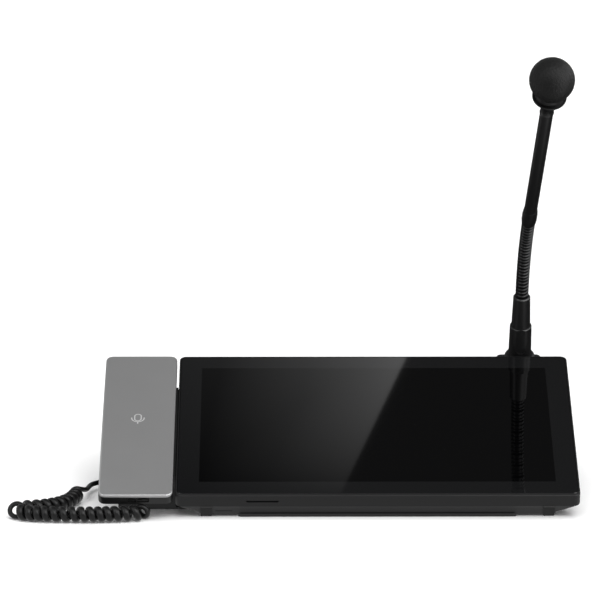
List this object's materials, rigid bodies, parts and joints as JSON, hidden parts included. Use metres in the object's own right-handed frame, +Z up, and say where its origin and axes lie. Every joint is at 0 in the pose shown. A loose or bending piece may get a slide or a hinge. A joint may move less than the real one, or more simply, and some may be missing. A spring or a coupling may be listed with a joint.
{
  "type": "paging station",
  "caption": "Desk paging station: sloped touch panel console with a corded handset in a side cradle and a gooseneck microphone behind its corner.",
  "frame": {"origin": "middle of the base plate's underside, on the desk", "axes": "+X to the user's right along the console, +Y away from the user, +Z up"},
  "size_m": [0.4693, 0.2589, 0.3827],
  "materials": {
    "screen_glass": "black glass, polished, with an edge ground smooth",
    "display": "dark display module behind the glass",
    "housing_black": "fine matte black, moulded",
    "base_black": "matte black paint on steel plate",
    "foot_black": "black rubber",
    "screw_steel": "dark zinc on steel",
    "board_green": "green solder resist",
    "speaker_black": "black, with a paper cone",
    "socket_plastic": "black moulded plastic",
    "socket_steel": "bright nickel-plated steel",
    "contact_gold": "gold-plated brass",
    "mic_black": "satin black anodising",
    "neck_black": "black oxide, slightly glossy",
    "foam_black": "fine open-cell black foam",
    "cradle_black": "fine matte black plastic",
    "magnet_steel": "nickel plating",
    "cord_black": "black flexible sheath with a soft shine",
    "handset_silver": "satin silver-grey paint",
    "handset_lower_silver": "satin silver-grey paint",
    "band_black": "satin black plastic"
  },
  "bodies": {
    "console": {"glass_panel": "screen_glass", "display_panel": "display", "front_frame": "housing_black", "lower_housing": "housing_black", "base_plate": "base_black", "base_screws": "screw_steel", "front_feet": "foot_black", "rear_feet": "foot_black", "main_board": "board_green", "board_screws": "screw_steel", "speaker": "speaker_black", "lan_jack": "socket_plastic", "usb_socket": "socket_steel", "mic_bracket": "housing_black", "mic_socket": "socket_plastic", "socket_collar": "mic_black", "mic_plug_pins": "contact_gold", "mic_barrel": "mic_black", "neck_sleeve": "mic_black", "cradle": "cradle_black", "cradle_bracket": "base_black", "cradle_screws": "screw_steel", "cradle_magnets": "magnet_steel", "hook_sensor": "board_green", "cradle_jack": "socket_plastic", "console_plug": "cord_black", "console_lead": "cord_black", "handset_cord": "cord_black", "handset_lead": "cord_black"},
    "handset": {"handset_cover": "handset_silver", "handset_band": "band_black", "handset_back": "handset_lower_silver", "handset_plate": "magnet_steel", "handset_screws": "screw_steel", "receiver_capsule": "speaker_black", "handset_microphone": "speaker_black", "handset_jack": "socket_plastic", "handset_plug": "cord_black"},
    "neck_1": {"neck_link_1": "neck_black"},
    "neck_2": {"neck_link_2": "neck_black"},
    "neck_3": {"neck_link_3": "neck_black"},
    "neck_4": {"neck_link_4": "neck_black"},
    "neck_5": {"neck_link_5": "neck_black"},
    "neck_6": {"neck_link_6": "neck_black"},
    "neck_7": {"neck_link_7": "neck_black"},
    "neck_8": {"neck_link_8": "neck_black"},
    "mic_head": {"neck_ferrule": "mic_black", "stem_tube": "mic_black", "head_cup": "mic_black", "mic_capsule": "socket_steel", "windscreen": "foam_black"}
  },
  "joints": [
    {"name": "neck_bend", "type": "hinge", "parent": "console", "child": "neck_1", "pos_m": [0.127, 0.08363, 0.15076], "axis": [1, 0, 0], "range_deg": [-14.89, 5.91]},
    {"name": "neck_swing", "type": "hinge", "parent": "neck_1", "child": "neck_2", "pos_m": [0.127, 0.07885, 0.16034], "axis": [0, 0.895, 0.446], "range_deg": [-11.18, 9.62]},
    {"name": "neck_bend_2", "type": "hinge", "parent": "neck_2", "child": "neck_3", "pos_m": [0.12713, 0.07408, 0.16992], "axis": [0.9999, 0, -0.0136], "range_deg": [-14.89, 5.91]},
    {"name": "neck_swing_2", "type": "hinge", "parent": "neck_3", "child": "neck_4", "pos_m": [0.12726, 0.06856, 0.17911], "axis": [0.0061, 0.8574, 0.5147], "range_deg": [-11.18, 9.62]},
    {"name": "neck_bend_3", "type": "hinge", "parent": "neck_4", "child": "neck_5", "pos_m": [0.12752, 0.06305, 0.18829], "axis": [0.9996, 0.0011, -0.0272], "range_deg": [-14.89, 5.91]},
    {"name": "neck_swing_3", "type": "hinge", "parent": "neck_5", "child": "neck_6", "pos_m": [0.12777, 0.05683, 0.197], "axis": [0.0131, 0.8144, 0.5801], "range_deg": [-11.18, 9.62]},
    {"name": "neck_bend_4", "type": "hinge", "parent": "neck_6", "child": "neck_7", "pos_m": [0.12815, 0.05062, 0.20572], "axis": [0.9992, 0.0032, -0.0406], "range_deg": [-14.89, 5.91]},
    {"name": "neck_swing_4", "type": "hinge", "parent": "neck_7", "child": "neck_8", "pos_m": [0.12852, 0.04374, 0.21392], "axis": [0.021, 0.7665, 0.6419], "range_deg": [-11.18, 9.62]},
    {"name": "neck_bend_5", "type": "hinge", "parent": "neck_8", "child": "mic_head", "pos_m": [0.12901, 0.03687, 0.22212], "axis": [0.9985, 0.0064, -0.0538], "range_deg": [-14.89, 5.91]},
    {"name": "handset_lift", "type": "slide", "parent": "console", "child": "handset", "axis": [0, -0.3746, 0.9272], "range_m": [0, 0.08]}
  ],
  "couplings": [
    {"joint": "neck_bend_2", "follows": "neck_bend", "ratio": 1},
    {"joint": "neck_swing_2", "follows": "neck_swing", "ratio": 1},
    {"joint": "neck_bend_3", "follows": "neck_bend", "ratio": 1},
    {"joint": "neck_swing_3", "follows": "neck_swing", "ratio": 1},
    {"joint": "neck_bend_4", "follows": "neck_bend", "ratio": 1},
    {"joint": "neck_swing_4", "follows": "neck_swing", "ratio": 1},
    {"joint": "neck_bend_5", "follows": "neck_bend", "ratio": 1}
  ]
}
